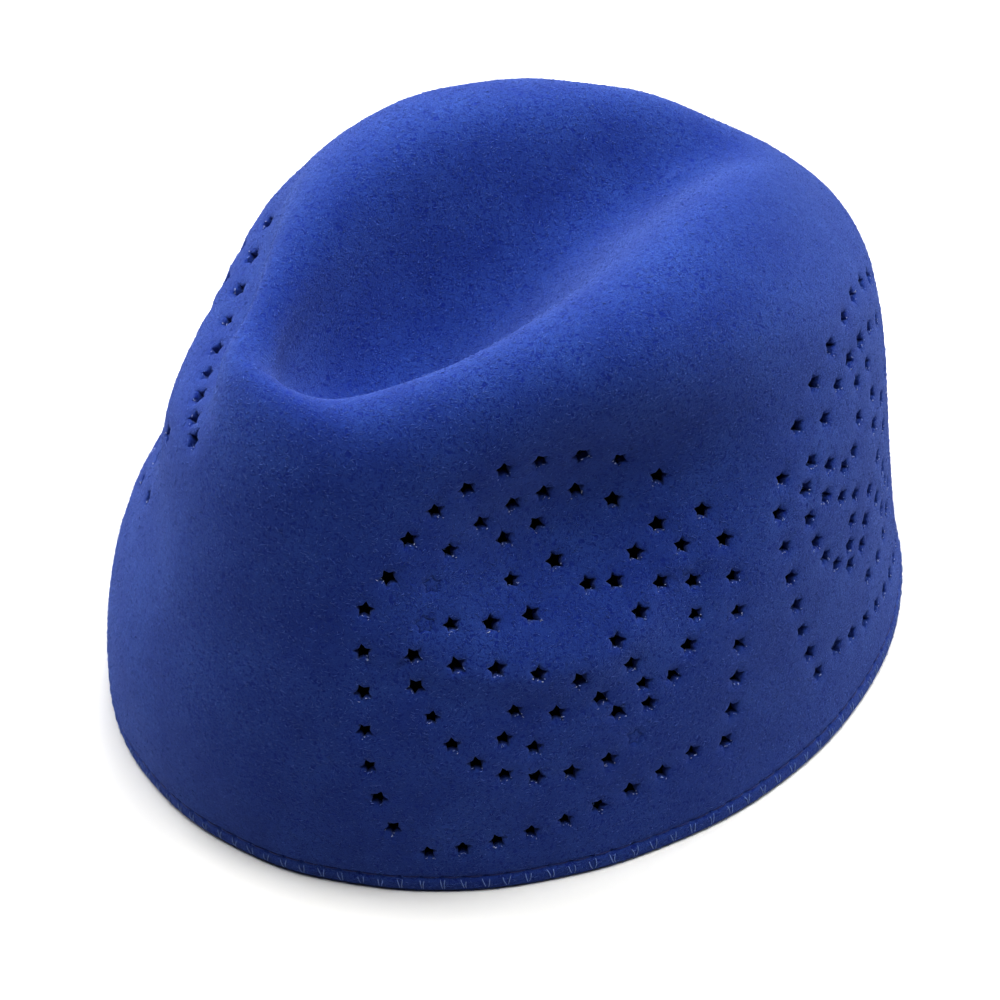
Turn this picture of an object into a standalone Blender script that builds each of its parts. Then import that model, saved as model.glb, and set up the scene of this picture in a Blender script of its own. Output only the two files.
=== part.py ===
# Felt prayer cap: a brimless crown blocked from one piece of wool felt, with a
# pinched front, a long crease along the top and punched star panels on its sides.
# Front towards -Y, the wearer's left towards +X, rim flat on the ground.

import bmesh
import bpy
import numpy as np
from mathutils import Matrix, Vector

# Sizes in metres, taken on the outside of the felt
HALF_WIDTH = 0.0820
HALF_LENGTH = 0.0995
CROWN_HEIGHT = 0.1165
FELT_THICKNESS = 0.0022

# Mesh fineness: steps round the head and steps from rim to crease
STEPS_ROUND = 52
STEPS_UP = 22
FINE_STEPS = 120
SMALL_STEP = 0.001

# Sections of the crown from the rim up over the ridge and down into the crease.
# half: share of HALF_WIDTH; fore, hind: reach to front and back, shares of HALF_LENGTH.
# The other columns are heights at five places round the section, shares of CROWN_HEIGHT.
SECTION_COLUMNS = ("half", "fore", "hind", "front", "fore_quarter", "side", "hind_quarter", "back")
HEIGHT_COLUMNS = SECTION_COLUMNS[3:]
SECTIONS = {
    "rim":      (1.000, 1.000, 0.984, 0.000, 0.000, 0.000, 0.000, 0.000),
    "low":      (0.924, 1.013, 0.938, 0.215, 0.215, 0.215, 0.215, 0.215),
    "middle":   (0.883, 0.915, 0.907, 0.472, 0.472, 0.472, 0.472, 0.472),
    "high":     (0.779, 0.815, 0.885, 0.769, 0.709, 0.709, 0.723, 0.719),
    "shoulder": (0.706, 0.677, 0.769, 0.925, 0.870, 0.952, 0.852, 0.803),
    "ridge":    (0.355, 0.608, 0.642, 0.816, 0.948, 1.035, 1.007, 0.905),
    "slope":    (0.190, 0.598, 0.507, 0.762, 0.672, 0.828, 0.918, 0.887),
    "crease":   (0.000, 0.503, 0.398, 0.757, 0.662, 0.727, 0.827, 0.886),
}

# Squareness of the rim's oval in front and behind; 2 is a plain ellipse
OVAL_FORE = 2.01
OVAL_HIND = 1.93

# Pinches that fingers press into the sides. side is 1 for the wearer's left and -1 for the
# right; a negative depth swells the felt outwards. depth is a share of HALF_WIDTH, forward
# and half_length of HALF_LENGTH, height and half_height of CROWN_HEIGHT; slant is rise per
# length; a pinch fades out between two shares of the felt's run.
PINCH_COLUMNS = (
    "side", "depth", "forward", "height", "half_length", "half_height", "slant",
    "fade_from", "fade_to",
)
PINCHES = {
    "left hollow":   (1, 0.199, 0.273, 0.647, 0.340, 0.188, 0.16, 0.55, 0.75),
    "left brow":     (1, 0.017, 0.438, 0.787, 0.289, 0.085, 0.27, 0.61, 0.85),
    "right hollow":  (-1, 0.130, 0.273, 0.632, 0.837, 0.146, 0.20, 0.55, 0.75),
    "right brow":    (-1, 0.203, 0.567, 0.821, 0.265, 0.065, 0.20, 0.56, 0.81),
    "right swell":   (-1, -0.055, 0.195, 0.791, 0.344, 0.087, 0.00, 0.55, 0.75),
}

# How soon a pinch takes hold away from the middle plane, shares of HALF_WIDTH
LEFT_SOFTNESS = 0.244
RIGHT_SOFTNESS = 0.171

# Star panels: the centre of a front panel in degrees from the front and in share
# of the felt's run from rim to crease, and how far a chart millimetre goes there
PANEL_TURN = 67.0
PANEL_RUN = 0.287
CHART_PER_DEGREE = 1.42
CHART_PER_RUN = 192.0
PANEL_MIRROR_TURN = 97.0

# The arch round each panel, charted in millimetres from the panel's centre.
# across runs towards the back of the head, up towards the crown.
RUN_COLUMNS = ("from_across", "from_up", "to_across", "to_up", "bow", "stars")
ARCH_RUNS = {
    "hind side":      (29.7, -34.6, 36.1, 9.3, 1.8, 7),
    "hind shoulder":  (33.6, 15.7, -0.5, 37.9, 4.6, 5),
    "fore shoulder":  (-9.9, 39.1, -36.7, 17.5, 4.8, 5),
    "fore side":      (-42.1, 11.0, -35.1, -36.8, 2.5, 7),
}

# A punched star and the punch that cuts it
STAR_REACH = 0.0021
STAR_WAIST = 0.54
STAR_POINTS = 5
PUNCH_LENGTH = 5.0 * FELT_THICKNESS

FELT_COLOUR = (0.012, 0.045, 0.42, 1.0)


def collection_named(name):
    found = bpy.data.collections.get(name) or bpy.data.collections.new(name)
    if name not in bpy.context.scene.collection.children:
        bpy.context.scene.collection.children.link(found)
    return found


def smooth_step(share):
    share = np.clip(share, 0.0, 1.0)
    return share * share * (3.0 - 2.0 * share)


def section_at(run):
    """Section rows blended by a cubic B-spline; the last row is met by its mirror image,
    so that the crease has a round floor."""
    scale = [HALF_WIDTH, HALF_LENGTH, HALF_LENGTH] + [CROWN_HEIGHT] * len(HEIGHT_COLUMNS)
    rows = np.array(list(SECTIONS.values())) * scale
    below = 2.0 * rows[:1] - rows[1:2]
    beyond = rows[-2:-1].copy()
    beyond[:, 0] *= -1.0
    rows = np.concatenate([below, rows, beyond])
    place = np.clip(run, 0.0, 1.0) * (len(SECTIONS) - 1)
    first = np.minimum(place.astype(int), len(SECTIONS) - 2)
    part = (place - first)[..., None]
    weights = (
        (1.0 - part) ** 3 / 6.0,
        (3.0 * part ** 3 - 6.0 * part ** 2 + 4.0) / 6.0,
        (-3.0 * part ** 3 + 3.0 * part ** 2 + 3.0 * part + 1.0) / 6.0,
        part ** 3 / 6.0,
    )
    return sum(weight * rows[first + step] for step, weight in enumerate(weights))


def pinch_press(row, x, y, z, run):
    """How far one pinch draws the felt in towards the middle plane."""
    pinch = dict(zip(PINCH_COLUMNS, row))
    from_middle = y + pinch["forward"] * HALF_LENGTH
    along = from_middle / (pinch["half_length"] * HALF_LENGTH)
    above = z - pinch["height"] * CROWN_HEIGHT - pinch["slant"] * from_middle
    above = above / (pinch["half_height"] * CROWN_HEIGHT)
    fade = 1.0 - smooth_step((run - pinch["fade_from"]) / (pinch["fade_to"] - pinch["fade_from"]))
    press = pinch["depth"] * HALF_WIDTH * np.exp(-along ** 2 - above ** 2) * fade
    return np.where(x * pinch["side"] > 0.0, press, 0.0)


def felt_surface(turn, run):
    """Outside of the felt: turn is the angle from the front towards +X, run goes from
    the rim (0) over the ridge to the floor of the crease (1)."""
    row = section_at(run)
    half, fore, hind = row[..., 0], row[..., 1], row[..., 2]
    ahead, aside = np.cos(turn), np.sin(turn)
    power = 2.0 + (np.where(ahead > 0.0, OVAL_FORE, OVAL_HIND) - 2.0) * (1.0 - run)
    reach = (np.abs(ahead) ** power + np.abs(aside) ** power) ** (-1.0 / power)
    x = half * aside * reach
    y = -np.where(ahead > 0.0, fore, hind) * ahead * reach
    waves = np.arange(len(HEIGHT_COLUMNS))
    blend = np.linalg.inv(np.cos(np.outer(waves * np.pi / waves[-1], waves)))
    heights = row[..., -len(HEIGHT_COLUMNS):] @ blend.T
    z = sum(heights[..., wave] * np.cos(wave * turn) for wave in waves)
    press = sum(pinch_press(row, x, y, z, run) for row in PINCHES.values())
    softness = np.where(x > 0.0, LEFT_SOFTNESS, RIGHT_SOFTNESS) * HALF_WIDTH
    x = x - press * np.tanh(x / softness)
    return np.stack([x, y, z], axis=-1)


def centre_shift():
    """Distance that brings the middle of the cap's length over the origin."""
    turn, run = np.meshgrid(np.linspace(0.0, np.pi, FINE_STEPS), np.linspace(0.0, 0.5, FINE_STEPS))
    y = felt_surface(turn, run)[..., 1]
    return -0.5 * (y.min() + y.max())


def felt_open_surface():
    """Loft through the sections, one ring of vertices a step, closed along the crease."""
    turn, run = np.meshgrid(
        np.arange(STEPS_ROUND) * 2.0 * np.pi / STEPS_ROUND,
        np.linspace(0.0, 1.0, STEPS_UP + 1),
    )
    points = felt_surface(turn, run)
    points[..., 1] += centre_shift()
    bm = bmesh.new()
    rings = [[bm.verts.new(point) for point in ring] for ring in points]
    for lower, upper in zip(rings, rings[1:]):
        for step in range(STEPS_ROUND):
            after = (step + 1) % STEPS_ROUND
            bm.faces.new((lower[step], lower[after], upper[after], upper[step]))
    bmesh.ops.remove_doubles(bm, verts=rings[-1], dist=FELT_THICKNESS / 40.0)
    bmesh.ops.recalc_face_normals(bm, faces=bm.faces)
    mesh = bpy.data.meshes.new("felt_cap")
    bm.to_mesh(mesh)
    bm.free()
    return mesh


def run_places(row):
    """Stars spaced evenly along one charted run, a parabola that bows to the right of its
    direction by the given depth."""
    cell = dict(zip(RUN_COLUMNS, row))
    start = np.array([cell["from_across"], cell["from_up"]])
    chord = np.array([cell["to_across"], cell["to_up"]]) - start
    right = np.array([chord[1], -chord[0]]) / np.linalg.norm(chord)
    share = np.linspace(0.0, 1.0, cell["stars"])[:, None]
    return start + chord * share + right * cell["bow"] * 4.0 * share * (1.0 - share)


def panel_places():
    """Turn and run of every arch star on all four panels."""
    chart = np.concatenate([run_places(row) for row in ARCH_RUNS.values()])
    turn = PANEL_TURN + chart[:, 0] / CHART_PER_DEGREE
    run = PANEL_RUN + chart[:, 1] / CHART_PER_RUN
    turn = np.concatenate([turn, 2.0 * PANEL_MIRROR_TURN - turn])
    turn = np.radians(np.concatenate([turn, -turn]))
    return turn, np.tile(run, 4)


def star_punches(collection):
    """One mesh of star-shaped punches, each square to the felt."""
    turn, run = panel_places()
    place = felt_surface(turn, run)
    round_way = felt_surface(turn + SMALL_STEP, run) - felt_surface(turn - SMALL_STEP, run)
    up_way = felt_surface(turn, run + SMALL_STEP) - felt_surface(turn, run - SMALL_STEP)
    place[:, 1] += centre_shift()
    bm = bmesh.new()
    for middle, across, up in zip(place, round_way, up_way):
        across = Vector(across).normalized()
        out = across.cross(Vector(up)).normalized()
        up = out.cross(across)
        made = bmesh.ops.create_cone(
            bm, cap_ends=True, cap_tris=False, segments=2 * STAR_POINTS,
            radius1=STAR_REACH, radius2=STAR_REACH, depth=PUNCH_LENGTH,
        )["verts"]
        for vert in made:
            corner = round(np.arctan2(vert.co.x, vert.co.y) / np.pi * STAR_POINTS)
            if corner % 2:
                vert.co.x *= STAR_WAIST
                vert.co.y *= STAR_WAIST
        frame = Matrix((across, up, out)).transposed().to_4x4()
        frame.translation = Vector(middle) - out * FELT_THICKNESS / 2.0
        bmesh.ops.transform(bm, matrix=frame, verts=made)
    mesh = bpy.data.meshes.new("star_punches")
    bm.to_mesh(mesh)
    bm.free()
    punches = bpy.data.objects.new("star_punches", mesh)
    punches.display_type = "WIRE"
    punches.hide_render = True
    collection.objects.link(punches)
    return punches


def felt_material():
    material = bpy.data.materials.new("royal_blue_felt")
    material.use_nodes = True
    shader = material.node_tree.nodes["Principled BSDF"]
    shader.inputs["Base Color"].default_value = FELT_COLOUR
    shader.inputs["Roughness"].default_value = 0.95
    material.diffuse_color = FELT_COLOUR
    return material


def apply_modifier(thing, modifier):
    bpy.context.view_layer.objects.active = thing
    with bpy.context.temp_override(object=thing, active_object=thing):
        bpy.ops.object.modifier_apply(modifier=modifier.name)


def build():
    for thing in list(bpy.data.objects):
        bpy.data.objects.remove(thing, do_unlink=True)
    shown = collection_named("prayer_cap")
    hidden = collection_named("cutters")

    cap = bpy.data.objects.new("felt_cap", felt_open_surface())
    shown.objects.link(cap)
    cap.data.materials.append(felt_material())

    shell = cap.modifiers.new("felt_thickness", "SOLIDIFY")
    shell.thickness = FELT_THICKNESS
    shell.offset = -1.0
    shell.use_even_offset = True
    apply_modifier(cap, shell)

    # The cut rim stands flat on the ground
    for vert in cap.data.vertices:
        if vert.co.z < FELT_THICKNESS / 2.0:
            vert.co.z = 0.0

    punch = cap.modifiers.new("star_holes", "BOOLEAN")
    punch.operation = "DIFFERENCE"
    punch.solver = "EXACT"
    punch.object = star_punches(hidden)
    apply_modifier(cap, punch)
    cap.data.shade_smooth()


build()
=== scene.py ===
# Looks of the felt prayer cap: the blocked felt with its punched stars, the stitched
# hem, the stray wool fibres, and a plain pale stage. Front towards -Y, rim on z = 0.

import bpy
import numpy as np
from bpy.props import FloatProperty, FloatVectorProperty, IntProperty, PointerProperty
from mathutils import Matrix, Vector
from mathutils.geometry import delaunay_2d_cdt


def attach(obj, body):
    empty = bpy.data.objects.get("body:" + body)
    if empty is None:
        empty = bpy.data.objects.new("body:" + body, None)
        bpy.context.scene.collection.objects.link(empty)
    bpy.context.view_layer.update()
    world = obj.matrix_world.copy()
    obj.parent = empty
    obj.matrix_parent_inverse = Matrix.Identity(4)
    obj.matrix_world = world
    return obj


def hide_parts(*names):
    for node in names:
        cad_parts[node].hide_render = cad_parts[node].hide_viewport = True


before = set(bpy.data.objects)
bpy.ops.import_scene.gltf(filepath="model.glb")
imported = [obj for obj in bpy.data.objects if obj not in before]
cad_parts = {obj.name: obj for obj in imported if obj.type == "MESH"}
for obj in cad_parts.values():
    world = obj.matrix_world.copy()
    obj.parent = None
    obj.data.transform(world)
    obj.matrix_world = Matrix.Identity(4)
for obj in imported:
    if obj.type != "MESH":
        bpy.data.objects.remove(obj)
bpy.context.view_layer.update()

bl_info = {
    "name": "Felt Prayer Cap",
    "version": (1, 0, 0),
    "blender": (4, 5, 0),
    "location": "3D View > Sidebar > Prayer Cap",
    "description": "Builds a blocked felt cap with punched star panels and a stitched hem",
    "category": "Add Mesh",
}

# Sections of the crown from the rim up over the ridge and down into the crease.
# half is a share of half_width; fore and hind are reaches to front and back, shares of
# half_length; the rest are heights at five places round the section, shares of crown_height.
# A program fitted these shares to the photograph, from a given start.
SECTIONS = {
    "rim":      (1.000, 1.000, 0.984, 0.000, 0.000, 0.000, 0.000, 0.000),
    "low":      (0.924, 1.013, 0.938, 0.215, 0.215, 0.215, 0.215, 0.215),
    "middle":   (0.883, 0.915, 0.907, 0.472, 0.472, 0.472, 0.472, 0.472),
    "high":     (0.779, 0.815, 0.885, 0.769, 0.709, 0.709, 0.723, 0.719),
    "shoulder": (0.706, 0.677, 0.769, 0.925, 0.870, 0.952, 0.852, 0.803),
    "ridge":    (0.355, 0.608, 0.642, 0.816, 0.948, 1.035, 1.007, 0.905),
    "slope":    (0.190, 0.598, 0.507, 0.762, 0.672, 0.828, 0.918, 0.887),
    "crease":   (0.000, 0.503, 0.398, 0.757, 0.662, 0.727, 0.827, 0.886),
}
HEIGHTS = 5

# Squareness of the rim's oval in front and behind; 2 is a plain ellipse
OVAL_FORE = 2.01
OVAL_HIND = 1.93

# Pinches that fingers press into the sides. side is 1 for the wearer's left and -1 for the
# right; a negative depth swells the felt outwards. depth is a share of half_width, forward
# and half_length of half_length, height and half_height of crown_height; slant is rise per
# length; a pinch fades out between two shares of the felt's run. Fitted like the sections.
PINCH_COLUMNS = (
    "side", "depth", "forward", "height", "half_length", "half_height", "slant",
    "fade_from", "fade_to",
)
PINCHES = {
    "left hollow":   (1, 0.199, 0.273, 0.647, 0.340, 0.188, 0.16, 0.55, 0.75),
    "left brow":     (1, 0.017, 0.438, 0.787, 0.289, 0.085, 0.27, 0.61, 0.85),
    "right hollow":  (-1, 0.130, 0.273, 0.632, 0.837, 0.146, 0.20, 0.55, 0.75),
    "right brow":    (-1, 0.203, 0.567, 0.821, 0.265, 0.065, 0.20, 0.56, 0.81),
    "right swell":   (-1, -0.055, 0.195, 0.791, 0.344, 0.087, 0.00, 0.55, 0.75),
}

# How soon a pinch takes hold away from the middle plane, shares of half_width; fitted as well
LEFT_SOFTNESS = 0.244
RIGHT_SOFTNESS = 0.171

# The felt's chart in millimetres: across from the front round to the back, up from the
# rim to the floor of the crease
CHART_PER_DEGREE = 1.42
CHART_PER_RUN = 192.0
CHART_HALF = 180.0 * CHART_PER_DEGREE
RIM_STRETCH = 0.93
MM = 0.001

# Star panels: the middle of a front panel, and the turn about which a hind panel mirrors it
PANEL_ACROSS = 67.0 * CHART_PER_DEGREE
PANEL_UP = 0.287 * CHART_PER_RUN
PANEL_MIRROR = 97.0 * CHART_PER_DEGREE

# Runs of stars in a panel, charted in millimetres from its middle: from across, from up,
# to across, to up, bow to the right of the run's way, number of stars. Charted, then fitted
# by a program to the holes' places in the photograph.
STAR_RUNS = {
    "arch, hind side":      (29.7, -34.6, 36.1, 9.3, 1.8, 7),
    "arch, hind shoulder":  (33.6, 15.7, -0.5, 37.9, 4.6, 5),
    "arch, fore shoulder":  (-9.9, 39.1, -36.7, 17.5, 4.8, 5),
    "arch, fore side":      (-42.1, 11.0, -35.1, -36.8, 2.5, 7),
    "sill":                 (-29.0, -43.9, 22.6, -33.1, 1.0, 9),
    "ring, crown side":     (24.8, 14.9, -20.6, 21.3, 9.0, 7),
    "ring, hind side":      (14.7, -16.9, 27.9, 10.4, 4.7, 6),
    "ring, rim side":       (-27.4, -10.3, 6.2, -26.9, 6.7, 7),
    "ring, fore side":      (-30.8, 8.5, -30.6, -3.9, 0.2, 3),
    "motif, fore bar":      (-21.7, 7.0, -4.2, 5.0, 0.5, 3),
    "motif, crown hook":    (-6.0, 11.4, 2.0, 19.9, -5.4, 3),
    "motif, hind wing":     (4.2, 12.3, 19.2, 10.8, 5.0, 4),
    "motif, hind bar":      (21.8, 5.1, 10.1, -2.3, -0.2, 3),
    "motif, hind foot":     (12.2, -7.3, 14.1, -12.2, 0.0, 2),
    "motif, long bar":      (-21.9, -0.2, 1.7, -7.2, -0.6, 4),
    "motif, rim pair":      (5.5, -12.3, 8.5, -16.4, 0.0, 2),
    "motif, fore pair":     (-11.0, -10.9, -3.1, -13.1, 0.0, 2),
    "motif, low pair":      (-13.5, -16.4, -7.8, -19.5, 0.0, 2),
}

# Stars seen along the far edge of the crown, on the wearer's right front, charted the same way
# from the middle of that side's panel. Their places were read off the photograph, and a
# program turned them into the ends of the two runs.
FAR_RUNS = {
    "crown line": (-6.0, 47.3, -80.4, 27.1, 0.0, 9),
    "front pair": (-66.0, 20.9, -55.0, 1.1, 0.0, 2),
}

# Stars of the wearer's left front panel that were pressed but not cut through
PRESSED_MARKS = {"fore": (-28.0, 8.0), "fore crown": (-25.6, 15.2), "rim": (11.4, -23.4)}

# Low shelf in the felt of the wearer's left front panel, where the pinched side springs
# back: places along its crest, charted in millimetres from the panel's middle
SHELF_CREST = ((-27.0, 1.5), (-17.0, -2.0), (-6.0, -4.0), (5.0, -4.5), (14.0, -1.0), (20.0, 6.0))

# Reach of the shelf above and below its crest line, in chart millimetres
SHELF_ABOVE = 12.0
SHELF_BELOW = 4.5

# A star's outline, and how much the stars differ in size (a share) and in spin (radians)
STAR_POINTS = 5
STAR_WAIST = 0.58
OUTLINE_STEPS = 4 * STAR_POINTS
SIZE_SPREAD = 0.06
SPIN_SPREAD = 0.30

# In millimetres: reach of the dimple round a star, and how near a pressed mark a star of the
# regular runs is left out
DIMPLE_REACH = 2.6
MARK_CLEARANCE = 3.0

# In millimetres: half width of the groove along the stitched line, roll of the hem, and the
# depth and half width of the rounding at the cut rim
GROOVE_REACH = 0.42
HEM_ROLL = 0.20
RIM_ROUNDING = 0.55
RIM_ROUNDING_REACH = 0.30

# Stage: metres from the origin to a lamp and to the floor's edge, and the share of the rim's
# oval taken by the dark card of painted shade under the cap
LAMP_DISTANCE = 1.3
FLOOR_REACH = 2.5
SHADE_CARD_SHARE = 0.90


def linear(code):
    """An sRGB hex colour as the linear red, green and blue that Blender's sockets take."""
    value = np.array([int(code[place:place + 2], 16) for place in (1, 3, 5)]) / 255.0
    low, high = value / 12.92, ((value + 0.055) / 1.055) ** 2.4
    return tuple(float(part) for part in np.where(value <= 0.04045, low, high))


class CapShape(bpy.types.PropertyGroup):
    half_width: FloatProperty(
        name="Half Width", description="Half of the rim's width, outside",
        default=0.0820, unit="LENGTH")
    half_length: FloatProperty(
        name="Half Length", description="Half of the rim's length, outside",
        default=0.0995, unit="LENGTH")
    crown_height: FloatProperty(
        name="Crown Height", description="Height that the crown's sections are shares of",
        default=0.1165, unit="LENGTH")
    thickness: FloatProperty(
        name="Felt Thickness", description="Thickness of the felt",
        default=0.0022, unit="LENGTH")
    star_reach: FloatProperty(
        name="Star Reach", description="Middle of a star to its tips",
        default=0.00200, unit="LENGTH")
    dimple: FloatProperty(
        name="Dimple", description="How far the punch pressed the felt in round a star",
        default=0.00045, unit="LENGTH")
    shelf: FloatProperty(
        name="Shelf", description="Height of the low shelf in the wearer's left front panel",
        default=0.0036, unit="LENGTH")
    unevenness: FloatProperty(
        name="Unevenness", description="Height of the soft lumps left by hand blocking",
        default=0.00016, unit="LENGTH")


class CapHem(bpy.types.PropertyGroup):
    stitches: IntProperty(
        name="Stitches", description="Stitches round the rim", default=128, min=8)
    height: FloatProperty(
        name="Line Height", description="Height of the stitched line over the cut rim",
        default=0.0038, unit="LENGTH")
    groove: FloatProperty(
        name="Groove", description="How far the stitched line is drawn into the felt",
        default=0.00042, unit="LENGTH")
    thread: FloatProperty(
        name="Thread", description="Thickness of the sewing thread",
        default=0.00034, unit="LENGTH")
    line_colour: FloatVectorProperty(
        name="Line Thread", description="Thread sunk in the stitched line",
        default=linear("#1B2F86"), subtype="COLOR", size=3, min=0.0, max=1.0)
    tick_colour: FloatVectorProperty(
        name="Edge Thread", description="Thread that goes over the edge",
        default=linear("#88A8E8"), subtype="COLOR", size=3, min=0.0, max=1.0)


class CapNap(bpy.types.PropertyGroup):
    fibres: IntProperty(
        name="Fibres", description="Stray wool fibres in each of the two layers",
        default=33000, min=0)
    # Painted glints: pale wool ends set at each star's lower edge and made near white, where the cut
    # edge catches the light from above
    painted_glint_ends: IntProperty(
        name="Painted Glint Ends", description="Pale torn ends of wool at each star's lower edge",
        default=4, min=1)
    length: FloatProperty(
        name="Fibre Length", description="Length of a long fibre",
        default=0.0014, unit="LENGTH")
    radius: FloatProperty(
        name="Fibre Radius", description="Radius of a fibre or small bundle of fibres",
        default=0.000042, unit="LENGTH")


class CapFelt(bpy.types.PropertyGroup):
    body: FloatVectorProperty(
        name="Felt", description="Dyed wool as it lies pressed",
        default=linear("#1B358A"), subtype="COLOR", size=3, min=0.0, max=1.0)
    deep: FloatVectorProperty(
        name="Felt Between Strands", description="Shaded wool between the strands",
        default=linear("#182B7C"), subtype="COLOR", size=3, min=0.0, max=1.0)
    pale: FloatVectorProperty(
        name="Raised Strands", description="Strands that stand up and catch the light",
        default=linear("#4D71BC"), subtype="COLOR", size=3, min=0.0, max=1.0)
    fibre: FloatVectorProperty(
        name="Pale Fibres", description="Palest of the stray fibres",
        default=linear("#6F90DC"), subtype="COLOR", size=3, min=0.0, max=1.0)
    # Colour of the painted glints: wool ends made near white where the stars' cut edges catch the
    # light
    glinting: FloatVectorProperty(
        name="Painted Glint Ends", description="Torn wool ends at the stars' edges",
        default=linear("#D8DCE6"), subtype="COLOR", size=3, min=0.0, max=1.0)
    sheen: FloatVectorProperty(
        name="Sheen", description="Light scattered by the fuzz at a grazing view",
        default=linear("#A9BEFF"), subtype="COLOR", size=3, min=0.0, max=1.0)
    strand: FloatProperty(
        name="Strand Loop", description="Size of the loops that the strands make",
        default=0.0011, unit="LENGTH")
    relief: FloatProperty(
        name="Strand Relief", description="How far the strands stand up",
        default=0.00020, unit="LENGTH")


class CapStage(bpy.types.PropertyGroup):
    floor: FloatVectorProperty(
        name="Floor", description="Matt floor as the camera sees it",
        default=linear("#F3F2EE"), subtype="COLOR", size=3, min=0.0, max=1.0)
    floor_bounce: FloatVectorProperty(
        name="Floor Bounce", description="Floor as the cap's underside is lit by it",
        default=linear("#CFCFD2"), subtype="COLOR", size=3, min=0.0, max=1.0)
    room: FloatProperty(
        name="Room Light", description="Strength of the light from all round", default=0.02)
    lamps: FloatProperty(
        name="Lamps", description="Factor on the power of all soft boxes", default=1.0)


GROUPS = {
    "cap_shape": CapShape, "cap_hem": CapHem, "cap_nap": CapNap,
    "cap_felt": CapFelt, "cap_stage": CapStage,
}


def smooth_step(share):
    """3s² - 2s³ with s kept between 0 and 1."""
    share = np.clip(share, 0.0, 1.0)
    return share * share * (3.0 - 2.0 * share)


def section_at(run):
    """Section rows blended by a uniform cubic B-spline over the run from rim (0) to crease
    (1); the last row is met by its mirror image, so that the crease has a round floor."""
    shape = bpy.context.scene.cap_shape
    scale = [shape.half_width, shape.half_length, shape.half_length]
    rows = np.array(list(SECTIONS.values())) * (scale + [shape.crown_height] * HEIGHTS)
    below = 2.0 * rows[:1] - rows[1:2]
    beyond = rows[-2:-1].copy()
    beyond[:, 0] *= -1.0
    rows = np.concatenate([below, rows, beyond])
    place = np.clip(run, 0.0, 1.0) * (len(SECTIONS) - 1)
    first = np.minimum(place.astype(int), len(SECTIONS) - 2)
    part = (place - first)[..., None]
    weights = (
        (1.0 - part) ** 3 / 6.0,
        (3.0 * part ** 3 - 6.0 * part ** 2 + 4.0) / 6.0,
        (-3.0 * part ** 3 + 3.0 * part ** 2 + 3.0 * part + 1.0) / 6.0,
        part ** 3 / 6.0,
    )
    return sum(weight * rows[first + step] for step, weight in enumerate(weights))


def pinch_press(row, x, y, z, run):
    """How far one pinch draws the felt in, in metres: a Gaussian of the length and the slanted
    height, on its own side only, faded out by smooth_step towards the ridge."""
    shape = bpy.context.scene.cap_shape
    pinch = dict(zip(PINCH_COLUMNS, row))
    from_middle = y + pinch["forward"] * shape.half_length
    along = from_middle / (pinch["half_length"] * shape.half_length)
    above = z - pinch["height"] * shape.crown_height - pinch["slant"] * from_middle
    above = above / (pinch["half_height"] * shape.crown_height)
    fade = 1.0 - smooth_step((run - pinch["fade_from"]) / (pinch["fade_to"] - pinch["fade_from"]))
    press = pinch["depth"] * shape.half_width * np.exp(-along ** 2 - above ** 2) * fade
    return np.where(x * pinch["side"] > 0.0, press, 0.0)


def felt_surface(turn, run):
    """Outside of the felt in metres. An oval of half width and reach taken from section_at,
    drawn as |cos t|^p + |sin t|^p = 1 with p near 2; its height is a sum of five cosines
    of the turn; each side is drawn in by its pinches, each of which falls off as a Gaussian."""
    shape = bpy.context.scene.cap_shape
    row = section_at(run)
    half, fore, hind = row[..., 0], row[..., 1], row[..., 2]
    ahead, aside = np.cos(turn), np.sin(turn)
    power = 2.0 + (np.where(ahead > 0.0, OVAL_FORE, OVAL_HIND) - 2.0) * (1.0 - run)
    reach = (np.abs(ahead) ** power + np.abs(aside) ** power) ** (-1.0 / power)
    x = half * aside * reach
    y = -np.where(ahead > 0.0, fore, hind) * ahead * reach
    waves = np.arange(HEIGHTS)
    blend = np.linalg.inv(np.cos(np.outer(waves * np.pi / waves[-1], waves)))
    heights = row[..., -HEIGHTS:] @ blend.T
    z = sum(heights[..., wave] * np.cos(wave * turn) for wave in waves)
    press = sum(pinch_press(row, x, y, z, run) for row in PINCHES.values())
    softness = np.where(x > 0.0, LEFT_SOFTNESS, RIGHT_SOFTNESS) * shape.half_width
    x = x - press * np.tanh(x / softness)
    return np.stack([x, y, z], axis=-1)


def chart_surface(chart):
    """Point of the felt for chart places in millimetres, moved to the middle of the frame."""
    turn = np.radians(chart[..., 0] / CHART_PER_DEGREE)
    points = felt_surface(turn, chart[..., 1] / CHART_PER_RUN)
    points[..., 1] += CENTRE_SHIFT
    return points


def centre_shift():
    """Distance that brings the middle of the cap's length over the origin."""
    turn, run = np.meshgrid(np.linspace(0.0, np.pi, 120), np.linspace(0.0, 0.5, 120))
    y = felt_surface(turn, run)[..., 1]
    return -0.5 * (y.min() + y.max())


def unit(vectors):
    return vectors / np.linalg.norm(vectors, axis=-1, keepdims=True)


def chart_frame(chart):
    """Metres that the felt moves per chart millimetre across and up, by central
    differences, and the outward unit normal, their cross product."""
    step = 0.2
    inside = chart.copy()
    inside[..., 1] = np.clip(inside[..., 1], step, CHART_PER_RUN - step)
    side, rise = np.array([step, 0.0]), np.array([0.0, step])
    across = (chart_surface(inside + side) - chart_surface(inside - side)) / (2.0 * step)
    upward = (chart_surface(inside + rise) - chart_surface(inside - rise)) / (2.0 * step)
    return across, upward, unit(np.cross(across, upward))


def run_places(row):
    """Stars spaced evenly along one charted run: chord * s + right * bow * 4 s (1 - s)."""
    start, end, bow = np.array(row[0:2]), np.array(row[2:4]), row[4]
    chord = end - start
    right = np.array([chord[1], -chord[0]]) / np.linalg.norm(chord)
    share = np.linspace(0.0, 1.0, row[5])[:, None]
    return start + chord * share + right * bow * 4.0 * share * (1.0 - share)


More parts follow.
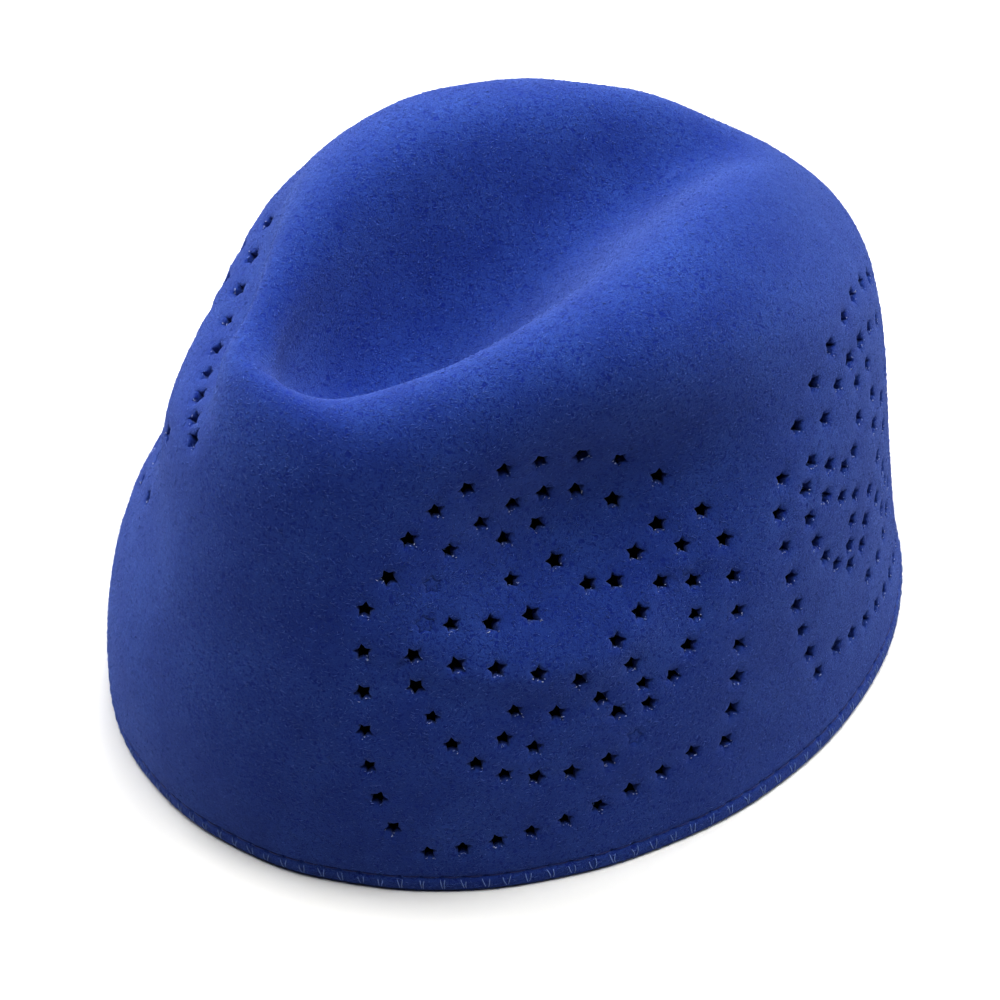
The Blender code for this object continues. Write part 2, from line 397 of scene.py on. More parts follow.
class Stars:
    """Every star on the four panels: its place on the chart, whether it is cut through, its
    size and spin, and the two-by-two matrix from millimetres on the felt to the chart."""

    def __init__(self):
        middle = np.array([PANEL_ACROSS, PANEL_UP])
        panel = np.concatenate([run_places(row) for row in STAR_RUNS.values()]) + middle
        marks = np.array(list(PRESSED_MARKS.values())) + middle
        hidden = np.linalg.norm(panel[:, None] - marks, axis=-1).min(axis=1) < MARK_CLEARANCE
        hind = panel * (-1.0, 1.0) + (2.0 * PANEL_MIRROR, 0.0)
        flip = np.array([-1.0, 1.0])
        far = np.concatenate([run_places(row) for row in FAR_RUNS.values()]) + middle
        self.place = np.concatenate([
            panel[~hidden], hind, panel * flip, hind * flip, far * flip, marks])
        self.cut = np.arange(len(self.place)) < len(self.place) - len(marks)
        chance = np.random.default_rng(11)
        count = len(self.place)
        reach = bpy.context.scene.cap_shape.star_reach / MM
        self.reach = reach * chance.normal(1.0, SIZE_SPREAD, count)
        self.spin = chance.normal(0.0, SPIN_SPREAD, count)
        across, upward, normal = chart_frame(self.place)
        first = unit(across)
        second = np.cross(normal, first)
        matrix = np.zeros((count, 2, 2))
        matrix[:, 0, 0] = (across * first).sum(-1)
        matrix[:, 0, 1] = (upward * first).sum(-1)
        matrix[:, 1, 1] = (upward * second).sum(-1)
        self.to_felt = matrix / MM
        self.to_chart = np.linalg.inv(self.to_felt)

    def outline_radius(self, angle):
        """Distance from a star's middle to its outline, for a tip at angle 0 and reach 1:
        the straight line from a tip to a waist corner, in polar form."""
        sector = np.pi / STAR_POINTS
        folded = np.abs((angle + sector) % (2.0 * sector) - sector)
        corner = STAR_WAIST * np.array([np.cos(sector), np.sin(sector)])
        edge = corner - (1.0, 0.0)
        return -edge[1] / (edge[0] * np.sin(folded) - edge[1] * np.cos(folded))

    def ring(self, margin, steps=OUTLINE_STEPS, roundness=0.0, shrink=1.0):
        """Points on the felt in millimetres from each star's middle, margin outside its
        outline; roundness 1 makes a circle through the tips."""
        angle = np.arange(steps) * 2.0 * np.pi / steps
        outline = self.outline_radius(angle)
        radius = outline + (1.0 - outline) * roundness
        radius = radius * self.reach[:, None] * shrink + margin
        angle = angle + self.spin[:, None]
        return np.stack([-radius * np.sin(angle), radius * np.cos(angle)], axis=-1)

    def on_chart(self, offsets):
        return self.place[:, None] + np.einsum("sij,skj->ski", self.to_chart, offsets)

    def distance(self, chart):
        """Millimetres on the felt from each chart place to the nearest star's middle."""
        nearest = np.full(len(chart), 1.0e3)
        for middle, matrix in zip(self.place, self.to_felt):
            close = np.abs(chart - middle).max(axis=1) < 12.0
            offset = (chart[close] - middle) @ matrix.T
            nearest[close] = np.minimum(nearest[close], np.hypot(offset[:, 0], offset[:, 1]))
        return nearest


def shelf_profile(chart):
    """Height from 0 to 1 of the low shelf: a Gaussian of the distance to its crest line, wide
    above the line and steep below it, tapered to both ends."""
    crest = np.array(SHELF_CREST) + (PANEL_ACROSS, PANEL_UP)
    share = np.linspace(0.0, len(crest) - 1.0, 60)
    knots = np.arange(len(crest))
    line = np.stack([np.interp(share, knots, crest[:, axis]) for axis in (0, 1)], axis=-1)
    profile = np.zeros(len(chart))
    close = np.flatnonzero(np.abs(chart - crest.mean(axis=0)).max(axis=1) < 50.0)
    offset = chart[close, None] - line
    distance = np.linalg.norm(offset, axis=-1)
    nearest = distance.argmin(axis=1)
    rows = np.arange(len(close))
    away, above = distance[rows, nearest], offset[rows, nearest, 1] > 0.0
    taper = np.sin(np.pi * (nearest + 6.0) / 71.0) ** 0.7
    profile[close] = taper * np.exp(-(away / np.where(above, SHELF_ABOVE, SHELF_BELOW)) ** 2)
    return profile


def felt_lift(chart, points, stars):
    """Millimetres that the outside stands proud of the blocked form: soft lumps (a sum of
    plane sine waves), dimples round the stars and the hem's roll, groove and stitch pits."""
    shape, hem = bpy.context.scene.cap_shape, bpy.context.scene.cap_hem
    chance = np.random.default_rng(5)
    ways = unit(chance.normal(size=(14, 3))) * 2.0 * np.pi / chance.uniform(0.016, 0.045, (14, 1))
    waves = np.sin(points @ ways.T + chance.uniform(0.0, 6.28, 14))
    lift = waves.sum(axis=1) * shape.unevenness / MM / 4.0
    lift -= shape.dimple / MM * np.exp(-(stars.distance(chart) / DIMPLE_REACH) ** 2)
    lift += shape.shelf / MM * shelf_profile(chart)
    above = chart[:, 1] * RIM_STRETCH
    line = hem.height / MM
    stitch = (chart[:, 0] + CHART_HALF) / (2.0 * CHART_HALF) * hem.stitches
    off = (stitch + 0.5) % 1.0 - 0.5
    pit = np.exp(-(off / 0.11) ** 2)
    lift -= hem.groove / MM * (0.75 + 0.8 * pit) * np.exp(-((above - line) / GROOVE_REACH) ** 2)
    roll = np.sin(np.pi * np.clip(above / line, 0.0, 1.0))
    lift += HEM_ROLL * roll * (1.0 - 0.45 * pit)
    lift -= RIM_ROUNDING * np.exp(-(above / RIM_ROUNDING_REACH) ** 2)
    return lift


def felt_chart_mesh(stars, columns, rows, rim_columns, rim_rows, margins):
    """Chart places and triangles of one side of the felt. A coarse grid, a finer band along
    the rim and rings round each star are joined by a Delaunay triangulation of the flat
    chart; what lies inside a cut star is left out. Returns the places, an extra lift for
    the rings, the triangles, the star outlines' numbers and the rim's numbers."""
    def grid(count, heights):
        across, up = np.meshgrid(np.linspace(-CHART_HALF, CHART_HALF, count + 1), heights)
        return np.stack([across, up], axis=-1)

    band = grid(rim_columns, rim_rows)
    field = grid(columns, np.linspace(rim_rows[-1], CHART_PER_RUN, rows + 1)[1:])
    loose = field[:-1, 1:-1].reshape(-1, 2)
    clear = stars.reach.mean() + margins[-1][0]
    loose = loose[stars.distance(loose) > clear]
    parts, lifts, rings = [], [], []
    total = 0
    for margin, steps, roundness, lift in margins:
        places = stars.on_chart(stars.ring(margin, steps, roundness))
        rings.append(total + np.arange(places[..., 0].size).reshape(len(stars.place), steps))
        parts.append(places.reshape(-1, 2))
        lifts.append(np.full(places[..., 0].size, lift))
        total += places[..., 0].size
    pressed = ~stars.cut
    for shrink, lift in ((0.80, -0.16), (0.42, -0.06)):
        places = stars.on_chart(stars.ring(0.0, OUTLINE_STEPS, 0.0, shrink))[pressed]
        parts.append(places.reshape(-1, 2))
        lifts.append(np.full(places[..., 0].size, lift))
    for places in (band.reshape(-1, 2), field[:, 0], field[:, -1], field[-1, 1:-1], loose):
        parts.append(places)
        lifts.append(np.zeros(len(places)))
    starts = np.concatenate([[0], np.cumsum([len(part) for part in parts])])
    chart, lift = np.concatenate(parts), np.concatenate(lifts)
    outline = rings[0]
    edges = np.stack([outline, np.roll(outline, -1, axis=1)], axis=-1).reshape(-1, 2)
    found = delaunay_2d_cdt([Vector(place) for place in chart.tolist()], edges.tolist(), [], 0, 1e-7)
    number = np.array([source[0] for source in found[3]])
    triangles = number[np.array(found[2])]

    # What lies inside a cut star: all three corners on its outline, middle within it
    owner = np.full(len(chart), -1)
    owner[outline.ravel()] = np.repeat(np.arange(len(outline)), outline.shape[1])
    owner[outline[pressed].ravel()] = -2
    same = (owner[triangles] == owner[triangles][:, :1]).all(axis=1) & (owner[triangles][:, 0] >= 0)
    local = np.zeros((len(chart), 2))
    local[outline.ravel()] = stars.ring(margins[0][0]).reshape(-1, 2)
    middle = local[triangles[same]].mean(axis=1)
    star = owner[triangles[same][:, 0]]
    angle = np.arctan2(-middle[:, 0], middle[:, 1]) - stars.spin[star]
    limit = stars.outline_radius(angle) * stars.reach[star] + margins[0][0]
    inside = np.zeros(len(triangles), bool)
    inside[np.flatnonzero(same)] = np.hypot(middle[:, 0], middle[:, 1]) < limit
    triangles = triangles[~inside]

    # The back seam and the two sides of the crease are each one row of points
    joined = np.arange(len(chart))
    rim = (starts[len(margins) + 2] + np.arange(band[..., 0].size)).reshape(band.shape[:2])
    joined[rim[:, -1]] = rim[:, 0]
    left, right, top = (starts[len(margins) + place] for place in (3, 4, 5))
    seam = np.arange(rows)
    joined[right + seam] = left + seam
    middle_columns = np.arange(1, columns)
    joined[top + middle_columns - 1] = top + np.minimum(middle_columns, columns - middle_columns) - 1
    return chart, lift, joined[triangles], outline, joined[rim[0, :-1]]


def mesh_object(name, points, faces, material):
    """A smooth mesh object at the origin from an array of points and one of faces, with
    unused points left out."""
    used = np.unique(faces)
    number = np.zeros(len(points), int)
    number[used] = np.arange(len(used))
    faces = number[faces]
    mesh = bpy.data.meshes.new(name)
    mesh.vertices.add(len(used))
    mesh.vertices.foreach_set("co", points[used].astype(np.float32).ravel())
    sides = faces.shape[1]
    mesh.loops.add(faces.size)
    mesh.loops.foreach_set("vertex_index", faces.astype(np.int32).ravel())
    mesh.polygons.add(len(faces))
    mesh.polygons.foreach_set("loop_start", np.arange(0, faces.size, sides, dtype=np.int32))
    mesh.update(calc_edges=True)
    mesh.validate()
    mesh.shade_smooth()
    mesh.materials.append(material)
    made = bpy.data.objects.new(name, mesh)
    bpy.context.scene.collection.objects.link(made)
    return made, used


def direction(turn, rise):
    """Unit vector for a turn from the front and a height angle, both in degrees."""
    turn, rise = np.radians(turn), np.radians(rise)
    return Vector((np.sin(turn) * np.cos(rise), -np.cos(turn) * np.cos(rise), np.sin(rise)))


def add_node(tree, kind, inputs=None, **settings):
    """Adds one node. inputs maps a socket's name or number to a value or to an output."""
    made = tree.nodes.new(kind)
    for name, value in settings.items():
        setattr(made, name, value)
    for socket, value in (inputs or {}).items():
        if isinstance(value, bpy.types.NodeSocket):
            tree.links.new(value, made.inputs[socket])
        else:
            made.inputs[socket].default_value = value
    return made


def new_material(name):
    material = bpy.data.materials.new(name)
    material.use_nodes = True
    material.node_tree.nodes.clear()
    return material, material.node_tree


def finish_material(tree, shader):
    add_node(tree, "ShaderNodeOutputMaterial", {"Surface": shader.outputs["BSDF"]})


def opaque(colour):
    return (*colour, 1.0)


def felt_material():
    """Wool felt, dyed, wet blocked and brushed: fibres lie in all ways in a dense mat, so
    it has no weave, hardly any gloss, and a pale fuzz where it is seen at a slant."""
    felt = bpy.context.scene.cap_felt
    material, tree = new_material("wool_felt_blocked")
    place = add_node(tree, "ShaderNodeTexCoord").outputs["Object"]
    # Patches about 14 mm across where the nap lies differently
    patches = add_node(tree, "ShaderNodeTexNoise", {
        "Vector": place, "Scale": 1.0 / 0.014, "Detail": 3.0, "Roughness": 0.55})
    # Curly strands, drawn about as coarse as the loops of a loose fibre
    strands = add_node(tree, "ShaderNodeTexNoise", {
        "Vector": place, "Scale": 1.0 / felt.strand, "Detail": 3.0, "Roughness": 0.7,
        "Lacunarity": 2.3, "Distortion": 1.1})
    ridge = add_node(tree, "ShaderNodeMath", {0: strands.outputs["Fac"], 1: 0.5}, operation="SUBTRACT")
    ridge = add_node(tree, "ShaderNodeMath", {0: ridge.outputs[0]}, operation="ABSOLUTE")
    ridge = add_node(tree, "ShaderNodeMapRange", {
        "Value": ridge.outputs[0], "From Min": 0.0, "From Max": 0.12, "To Min": 1.0, "To Max": 0.0})
    # Grain of single fibres that lie along the side: 0.9 mm long, 0.3 mm apart
    laid = add_node(tree, "ShaderNodeMapping", {"Vector": place, "Scale": (1.0, 1.0, 2.8)})
    grain = add_node(tree, "ShaderNodeTexNoise", {
        "Vector": laid.outputs["Vector"], "Scale": 1.0 / 0.0009, "Detail": 3.0, "Roughness": 0.75,
        "Distortion": 0.5})
    shade = add_node(tree, "ShaderNodeMapRange", {
        "Value": grain.outputs["Fac"], "From Min": 0.28, "From Max": 0.58})
    body = add_node(tree, "ShaderNodeMix", {
        "Factor": shade.outputs[0], 6: opaque(felt.deep), 7: opaque(felt.body)}, data_type="RGBA")
    lit = add_node(tree, "ShaderNodeMapRange", {
        "Value": patches.outputs["Fac"], "From Min": 0.3, "From Max": 0.7,
        "To Min": 0.24, "To Max": 0.56})
    share = add_node(tree, "ShaderNodeMath", {
        0: ridge.outputs[0], 1: lit.outputs[0]}, operation="MULTIPLY")
    colour = add_node(tree, "ShaderNodeMix", {
        "Factor": share.outputs[0], 6: body.outputs[2], 7: opaque(felt.pale)}, data_type="RGBA")
    height = add_node(tree, "ShaderNodeMath", {
        0: ridge.outputs[0], 1: 0.8, 2: grain.outputs["Fac"]}, operation="MULTIPLY_ADD")
    bump = add_node(tree, "ShaderNodeBump", {
        "Height": height.outputs[0], "Distance": felt.relief, "Strength": 0.6})
    shader = add_node(tree, "ShaderNodeBsdfPrincipled", {
        "Base Color": colour.outputs[2], "Normal": bump.outputs[0], "Roughness": 0.92,
        "IOR": 1.45, "Specular IOR Level": 0.12, "Sheen Weight": 0.43, "Sheen Roughness": 0.5,
        "Sheen Tint": opaque(felt.sheen)})
    finish_material(tree, shader)
    return material


def fibre_material(name, dark, pale):
    """Single wool fibres standing off the felt, a dark to a pale shade from fibre to fibre."""
    material, tree = new_material(name)
    tone = add_node(tree, "ShaderNodeAttribute", attribute_name="tone").outputs["Fac"]
    colour = add_node(tree, "ShaderNodeMix", {
        "Factor": tone, 6: opaque(dark), 7: opaque(pale)}, data_type="RGBA")
    shader = add_node(tree, "ShaderNodeBsdfPrincipled", {
        "Base Color": colour.outputs[2], "Roughness": 0.6, "IOR": 1.54,
        "Specular IOR Level": 0.3, "Sheen Weight": 0.4, "Sheen Roughness": 0.4,
        "Sheen Tint": opaque(bpy.context.scene.cap_felt.sheen)})
    finish_material(tree, shader)
    return material


def thread_material(name, colour, twist):
    """Spun polyester sewing thread: two plies twisted, so fine slanting bands, soft gloss."""
    material, tree = new_material(name)
    place = add_node(tree, "ShaderNodeTexCoord").outputs["Object"]
    plies = add_node(tree, "ShaderNodeTexNoise", {
        "Vector": place, "Scale": 1.0 / twist, "Detail": 1.0, "Distortion": 0.8})
    dark = tuple(part * 0.55 for part in colour)
    shade = add_node(tree, "ShaderNodeMix", {
        "Factor": plies.outputs["Fac"], 6: opaque(dark), 7: opaque(colour)}, data_type="RGBA")
    bump = add_node(tree, "ShaderNodeBump", {
        "Height": plies.outputs["Fac"], "Distance": 0.0001, "Strength": 0.6})
    shader = add_node(tree, "ShaderNodeBsdfPrincipled", {
        "Base Color": shade.outputs[2], "Normal": bump.outputs[0], "Roughness": 0.55,
        "IOR": 1.55, "Sheen Weight": 0.3, "Sheen Roughness": 0.4})
    finish_material(tree, shader)
    return material


def on_body(piece):
    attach(piece, "root")
    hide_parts("felt_cap")


def spindles(paths, radii, outward, sides):
    """Closed thin strands: round each inner point of a path stands a ring of the given
    radius, square to the path; the first and last points are the poles. paths is strands
    by points by three, outward one vector a strand. Returns points and triangles."""
    count, length, _ = paths.shape
    way = unit(np.gradient(paths, axis=1))[:, 1:-1]
    side = unit(np.cross(way, outward[:, None]))
    up = np.cross(side, way)
    angle = np.arange(sides) * 2.0 * np.pi / sides
    spoke = np.cos(angle)[:, None] * side[:, :, None] + np.sin(angle)[:, None] * up[:, :, None]
    rings = paths[:, 1:-1, None] + radii[:, 1:-1, None, None] * spoke
    points = np.concatenate([
        paths[:, :1], rings.reshape(count, -1, 3), paths[:, -1:]], axis=1)
    inner = length - 2
    here = 1 + np.arange(sides)
    after = 1 + (np.arange(sides) + 1) % sides
    faces = [np.stack([np.zeros(sides, int), after, here], axis=-1)]
    for ring in range(inner - 1):
        low, high = ring * sides, (ring + 1) * sides
        faces.append(np.stack([here + low, after + low, after + high], axis=-1))
        faces.append(np.stack([here + low, after + high, here + high], axis=-1))
    last = (inner - 1) * sides
    faces.append(np.stack([here + last, after + last, np.full(sides, inner * sides + 1)], axis=-1))
    faces = np.concatenate(faces)
    per = points.shape[1]
    faces = (np.arange(count)[:, None, None] * per + faces).reshape(-1, 3)
    return points.reshape(-1, 3), faces


class PRAYERCAP_OT_felt(bpy.types.Operator):
    """Build the blocked felt with its punched stars, dimples and rolled hem"""
    bl_idname = "prayer_cap.felt"
    bl_label = "Build Felt"

    def execute(self, context):
        shape, hem = context.scene.cap_shape, context.scene.cap_hem
        stars = Stars()
        rim_rows = np.array([0.0, 0.25, 0.6, 1.1, 1.7, 2.4, 3.0, 3.4, 3.8, 4.2, 4.6, 5.2, 6.0])
        rim_rows = rim_rows / RIM_STRETCH
        margins = (
            (0.0, OUTLINE_STEPS, 0.0, -0.30), (0.16, OUTLINE_STEPS, 0.05, -0.09),
            (0.42, OUTLINE_STEPS, 0.25, -0.01), (1.0, 12, 1.0, 0.0))
        chart, extra, outer, outer_stars, outer_rim = felt_chart_mesh(
            stars, 240, 98, 8 * hem.stitches, rim_rows, margins)
        base = chart_surface(chart)
        normal = chart_frame(chart)[2]
        lift = felt_lift(chart, base, stars) + extra
        points = base + normal * lift[:, None] * MM
        points[outer_rim, 2] = 0.0

        inner_chart, _, inner, inner_stars, inner_rim = felt_chart_mesh(
            stars, 120, 48, 8 * hem.stitches, np.array([0.0]), margins[:1])
        inner_base = chart_surface(inner_chart)
        inner_points = inner_base - chart_frame(inner_chart)[2] * shape.thickness
        inner_points[inner_rim, 2] = 0.0
        for place, sheet in ((chart, points), (inner_chart, inner_points)):
            sheet[place[:, 1] > CHART_PER_RUN - 1.0e-6, 0] = 0.0

        inner, inner_stars = inner[:, ::-1] + len(points), inner_stars + len(points)
        inner_rim = inner_rim + len(points)
        cut_outer, cut_inner = outer_stars[stars.cut], inner_stars[stars.cut]
        next_outer, next_inner = np.roll(cut_outer, -1, axis=1), np.roll(cut_inner, -1, axis=1)
        walls = [
            np.stack([cut_outer, next_outer, next_inner], axis=-1).reshape(-1, 3),
            np.stack([cut_outer, next_inner, cut_inner], axis=-1).reshape(-1, 3),
            np.stack([np.roll(outer_rim, -1), outer_rim, inner_rim], axis=-1),
            np.stack([np.roll(outer_rim, -1), inner_rim, np.roll(inner_rim, -1)], axis=-1),
        ]
        faces = np.concatenate([outer, inner] + walls)
        kept = (faces != np.roll(faces, -1, axis=1)).all(axis=1)
        cap, _ = mesh_object(
            "felt_with_stars", np.concatenate([points, inner_points]), faces[kept], felt_material())
        cap.data.set_sharp_from_angle(angle=np.radians(62.0))
        on_body(cap)
        print("felt triangles", len(cap.data.polygons))
        return {"FINISHED"}


def scattered(stars, count, chance):
    """Chart places spread evenly over the outside of the felt, clear of the stars."""
    many = 4 * count
    chart = np.stack([
        chance.uniform(-CHART_HALF, CHART_HALF, many),
        chance.uniform(0.3, CHART_PER_RUN - 1.0, many)], axis=-1)
    across, upward, _ = chart_frame(chart)
    area = np.linalg.norm(np.cross(across, upward), axis=-1)
    keep = chance.uniform(0.0, 1.0, many) < area / area.max()
    keep &= stars.distance(chart) > stars.reach.mean() * 0.95
    return chart[keep][:count]


def lay_fibres(name, chart, length, radius, material, stars, chance):
    """Fibres rooted at chart places: for s from 0 at the root to 1 at the end, length * s
    along a random heading, bent sideways by length * bend * s² and raised off the felt."""
    across, _, normal = chart_frame(chart)
    count = len(chart)
    root = chart_surface(chart)
    root = root + normal * (felt_lift(chart, root, stars) * MM)[:, None]
    first = unit(across)
    second = np.cross(normal, first)
    heading = chance.uniform(0.0, 2.0 * np.pi, count)
    way = np.cos(heading)[:, None] * first + 0.7 * np.sin(heading)[:, None] * second
    beside = np.cross(normal, way)
    bend = chance.normal(0.0, 0.22, count)
    rise = np.abs(chance.normal(0.0, 0.00010, count)) + 0.00004
    share = np.array([0.0, 0.5, 1.0])
    sideways = (bend * length)[:, None] * share ** 2
    height = np.stack([
        np.full(count, -0.00004), rise, rise * chance.uniform(-0.3, 1.5, count)], axis=-1)
    paths = (root[:, None] + (share * length[:, None])[..., None] * way[:, None]
             + sideways[..., None] * beside[:, None] + height[..., None] * normal[:, None])
    paths[..., 2] = np.maximum(paths[..., 2], 0.00006)
    radii = np.full((count, 3), radius) * chance.uniform(0.7, 1.4, (count, 1))
    points, faces = spindles(paths, radii, normal, 3)
    fibres, used = mesh_object(name, points, faces, material)
    tone = np.repeat(chance.uniform(0.0, 1.0, count), len(points) // count)
    mark = fibres.data.attributes.new("tone", "FLOAT", "POINT")
    mark.data.foreach_set("value", tone[used].astype(np.float32))
    on_body(fibres)


class PRAYERCAP_OT_nap(bpy.types.Operator):
    """Scatter stray wool fibres over the felt, and pale wool ends at the stars' lower edges as painted
    glints
    """
    bl_idname = "prayer_cap.nap"
    bl_label = "Build Nap"

    def execute(self, context):
        nap, felt = context.scene.cap_nap, context.scene.cap_felt
        stars = Stars()
        material = fibre_material("wool_fibre_stray", felt.body, felt.fibre)
        for name, seed in (("nap_under", 23), ("nap_over", 29)):
            chance = np.random.default_rng(seed)
            chart = scattered(stars, nap.fibres, chance)
            length = nap.length * chance.uniform(0.4, 1.0, len(chart))
            lay_fibres(name, chart, length, nap.radius, material, stars, chance)

        # Painted glints: short near-white wool ends at the lower edge of every cut star, in place of
        # the light that the cut edge catches
        chance = np.random.default_rng(31)
        below = stars.on_chart(stars.ring(-0.08))[stars.cut][:, 7:14]
        chosen = chance.integers(0, below.shape[1], (len(below), nap.painted_glint_ends))
        chart = np.take_along_axis(below, chosen[..., None], axis=1).reshape(-1, 2)
        length = chance.uniform(0.0003, 0.0008, len(chart))
        material = fibre_material("wool_fibre_painted_glint", felt.fibre, felt.glinting)
        lay_fibres("painted_glint_star_edges", chart, length, 2.6 * nap.radius, material, stars, chance)
        return {"FINISHED"}


class PRAYERCAP_OT_hem_stitching(bpy.types.Operator):
    """Sew the hem: a line of sunk stitches, and pairs of thread drawn to the edge"""
    bl_idname = "prayer_cap.hem_stitching"
    bl_label = "Build Hem Stitching"

    def execute(self, context):
        hem = context.scene.cap_hem
        chance = np.random.default_rng(7)
        stars = Stars()
        pitch = 2.0 * CHART_HALF / hem.stitches
        start = -CHART_HALF + np.arange(hem.stitches) * pitch
        line = hem.height / MM / RIM_STRETCH

        def lay(name, across, above, proud, thickness, material):
            """Thread along chart places; proud is its height over the felt."""
            chart = np.stack([across, above], axis=-1)
            flat = chart.reshape(-1, 2)
            base = chart_surface(flat)
            normal = chart_frame(flat)[2]
            lift = felt_lift(flat, base, stars)[:, None] * MM + proud.reshape(-1, 1)
            paths = (base + normal * lift).reshape(*chart.shape[:2], 3)
            paths[..., 2] = np.maximum(paths[..., 2], thickness * 0.5)
            outward = normal.reshape(*chart.shape[:2], 3)[:, chart.shape[1] // 2]
            radii = np.full(chart.shape[:2], thickness / 2.0)
            points, faces = spindles(paths, radii, outward, 6)
            thread, _ = mesh_object(name, points, faces, material)
            on_body(thread)

        share = np.linspace(0.0, 1.0, 9)
        across = start[:, None] + pitch * (0.06 + 0.88 * share)
        above = np.full_like(across, line) + chance.normal(0.0, 0.05, (hem.stitches, 1))
        proud = (np.sin(np.pi * share) * 0.7 - 0.35) * hem.thread * np.ones_like(across)
        lay("hem_line_thread", across, above, proud, hem.thread,
            thread_material("sewing_thread_line", hem.line_colour, 0.0005))

        share = np.linspace(0.0, 1.0, 7)
        twice = np.repeat(start, 2)
        lean = np.tile([-1.0, 1.0], hem.stitches)
        foot = chance.normal(0.0, 0.12, hem.stitches).repeat(2)
        top = lean * 0.62 + chance.normal(0.0, 0.14, len(twice))
        bottom = foot + lean * chance.uniform(0.04, 0.30, len(twice))
        low = 0.45 + np.abs(chance.normal(0.0, 0.30, len(twice)))
        high = line - 0.35 - np.abs(chance.normal(0.0, 0.35, len(twice)))
        across = twice[:, None] + top[:, None] + (bottom - top)[:, None] * share
        across += chance.normal(0.0, 0.12, (len(twice), 1)) * np.sin(np.pi * share)
        above = high[:, None] + (low - high)[:, None] * share
        thickness = hem.thread * 0.62
        proud = (np.sin(np.pi * share) * 0.9 - 0.30) * thickness * np.ones_like(across)
        lay("hem_edge_thread", across, above, proud, thickness,
            thread_material("sewing_thread_edge", hem.tick_colour, 0.0005))
        return {"FINISHED"}


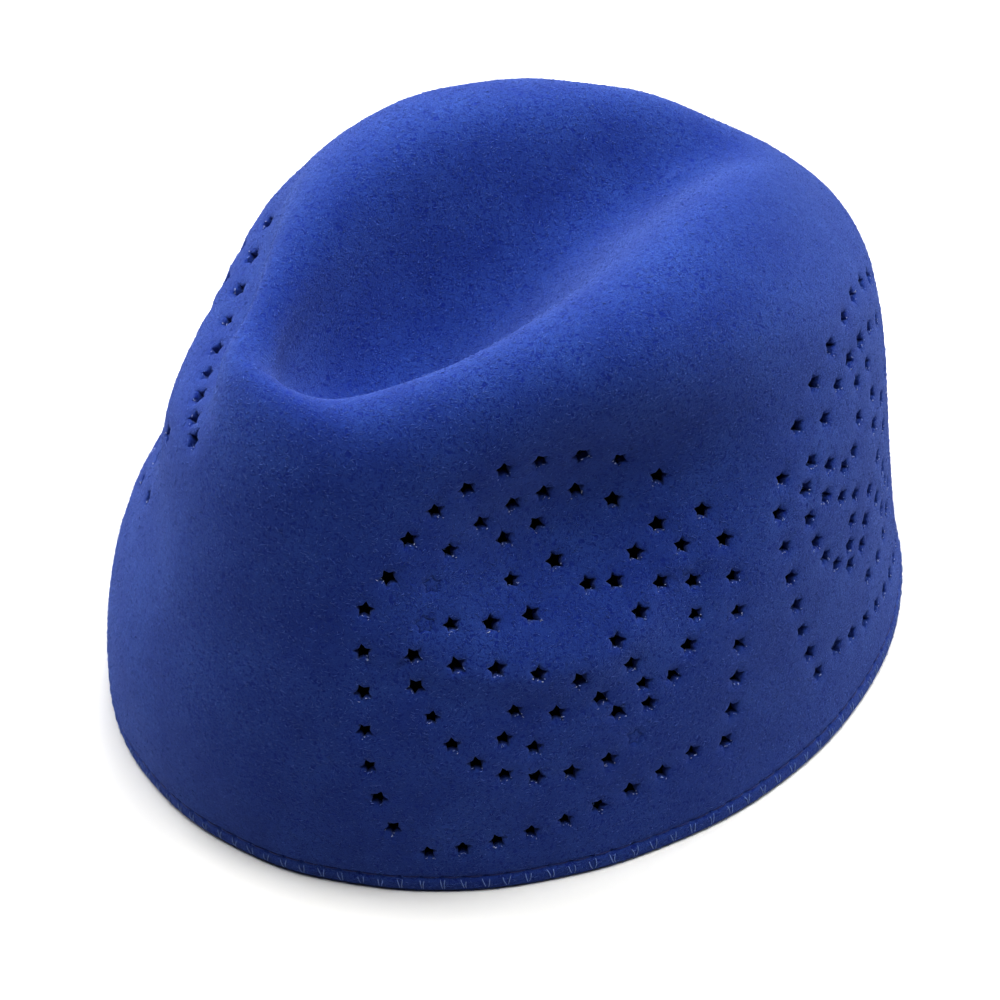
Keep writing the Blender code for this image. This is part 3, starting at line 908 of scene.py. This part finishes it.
class PRAYERCAP_OT_stage(bpy.types.Operator):
    """Set the pale floor, the dark card of painted shade, the room light, the soft boxes and the
    camera
    """
    bl_idname = "prayer_cap.stage"
    bl_label = "Build Stage"

    def execute(self, context):
        scene, stage = context.scene, context.scene.cap_stage
        scene.view_settings.view_transform = "Standard"
        # A little more contrast than the plain curve, as in a camera's own picture style
        scene.view_settings.gamma = 0.80

        material, tree = new_material("matt_paper_floor")
        seen = add_node(tree, "ShaderNodeLightPath").outputs["Is Camera Ray"]
        paper = add_node(tree, "ShaderNodeMix", {
            "Factor": seen, 6: opaque(stage.floor_bounce), 7: opaque(stage.floor)}, data_type="RGBA")
        shader = add_node(tree, "ShaderNodeBsdfPrincipled", {
            "Base Color": paper.outputs[2], "Roughness": 0.9, "Specular IOR Level": 0.1})
        finish_material(tree, shader)
        corners = np.array([(-1, -1, 0), (1, -1, 0), (1, 1, 0), (-1, 1, 0)]) * FLOOR_REACH
        corners[:, 2] = -0.0002
        floor, _ = mesh_object("floor", corners, np.array([[0, 1, 2, 3]]), material)

        # Painted shade: a dark card lies under the cap, well inside its rim, in place of the
        # shade inside the cap, so that the stars look black
        shape = context.scene.cap_shape
        material, tree = new_material("painted_shade_card")
        shader = add_node(tree, "ShaderNodeBsdfPrincipled", {
            "Base Color": opaque(linear("#0C0C0E")), "Roughness": 0.9, "Specular IOR Level": 0.1})
        finish_material(tree, shader)
        turn = np.radians(np.arange(96) * 360.0 / 96)
        rim = np.stack([np.sin(turn), -np.cos(turn), np.zeros(96)], axis=-1)
        rim = rim * (shape.half_width * SHADE_CARD_SHARE, shape.half_length * SHADE_CARD_SHARE, 0.0)
        rim[:, 2] = -0.0001
        disc = np.concatenate([rim, [[0.0, 0.0, -0.0001]]])
        here = np.arange(96)
        card, _ = mesh_object(
            "painted_shade_card", disc, np.stack([here, (here + 1) % 96, np.full(96, 96)], axis=-1), material)

        # The room lights the cap a little, and is seen as white paper behind it
        world = bpy.data.worlds.new("plain_room")
        world.use_nodes = True
        tree = world.node_tree
        tree.nodes.clear()
        seen = add_node(tree, "ShaderNodeLightPath").outputs["Is Camera Ray"]
        strength = add_node(tree, "ShaderNodeMapRange", {
            "Value": seen, "To Min": stage.room, "To Max": 1.0})
        paper = add_node(tree, "ShaderNodeBackground", {
            "Color": (1.0, 1.0, 1.0, 1.0), "Strength": strength.outputs[0]})
        add_node(tree, "ShaderNodeOutputWorld", {"Surface": paper.outputs[0]})
        scene.world = world

        # Soft boxes: turn from the front, height angle, power in watts, side in metres. A program
        # fitted the powers to the photograph first, and they were then changed.
        boxes = {
            "left_box": (-72.0, 31.0, 17.5, 0.9),
            "back_left_box": (-150.0, 52.0, 11.4, 0.9),
            "back_right_box": (150.0, 52.0, 9.3, 0.9),
            "top_box": (50.0, 88.0, 13.0, 0.9),
        }
        for name, (turn, rise, power, side) in boxes.items():
            lamp = bpy.data.lights.new(name, "AREA")
            lamp.energy = power * stage.lamps
            lamp.size = side
            thing = bpy.data.objects.new(name, lamp)
            way = direction(turn, rise)
            thing.location = way * LAMP_DISTANCE
            thing.rotation_euler = way.to_track_quat("Z", "Y").to_euler()
            scene.collection.objects.link(thing)

        # The photograph's view: turn from the front, height angle, distance, aim and lens, all
        # fitted to the photograph by a program
        turn, rise, distance = 52.384, 41.774, 0.68093
        aim = Vector((-0.00252, -0.00227, 0.03185))
        way = direction(turn, rise)
        lens = bpy.data.cameras.new("photo_view")
        lens.lens = 107.80
        lens.sensor_width = 36.0
        lens.clip_start = 0.02
        camera = bpy.data.objects.new("photo_view", lens)
        camera.location = aim + way * distance
        camera.rotation_euler = way.to_track_quat("Z", "Y").to_euler()
        scene.collection.objects.link(camera)
        bpy.context.scene.camera = camera
        return {"FINISHED"}


class PRAYERCAP_PT_panel(bpy.types.Panel):
    bl_label = "Prayer Cap"
    bl_idname = "PRAYERCAP_PT_panel"
    bl_space_type = "VIEW_3D"
    bl_region_type = "UI"
    bl_category = "Prayer Cap"

    def draw(self, context):
        for group, kind in GROUPS.items():
            box = self.layout.box()
            box.label(text=kind.__name__)
            for name in kind.__annotations__:
                box.prop(getattr(context.scene, group), name)
        for operator in OPERATORS:
            self.layout.operator(operator.bl_idname)


OPERATORS = (PRAYERCAP_OT_felt, PRAYERCAP_OT_nap, PRAYERCAP_OT_hem_stitching, PRAYERCAP_OT_stage)
CLASSES = (*GROUPS.values(), *OPERATORS, PRAYERCAP_PT_panel)


def register():
    for kind in CLASSES:
        bpy.utils.register_class(kind)
    for name, kind in GROUPS.items():
        setattr(bpy.types.Scene, name, PointerProperty(type=kind))


def unregister():
    for name in GROUPS:
        delattr(bpy.types.Scene, name)
    for kind in reversed(CLASSES):
        bpy.utils.unregister_class(kind)


def main():
    global CENTRE_SHIFT
    register()
    CENTRE_SHIFT = centre_shift()
    bpy.ops.prayer_cap.felt()
    bpy.ops.prayer_cap.nap()
    bpy.ops.prayer_cap.hem_stitching()
    bpy.ops.prayer_cap.stage()


if __name__ == "__main__":
    main()
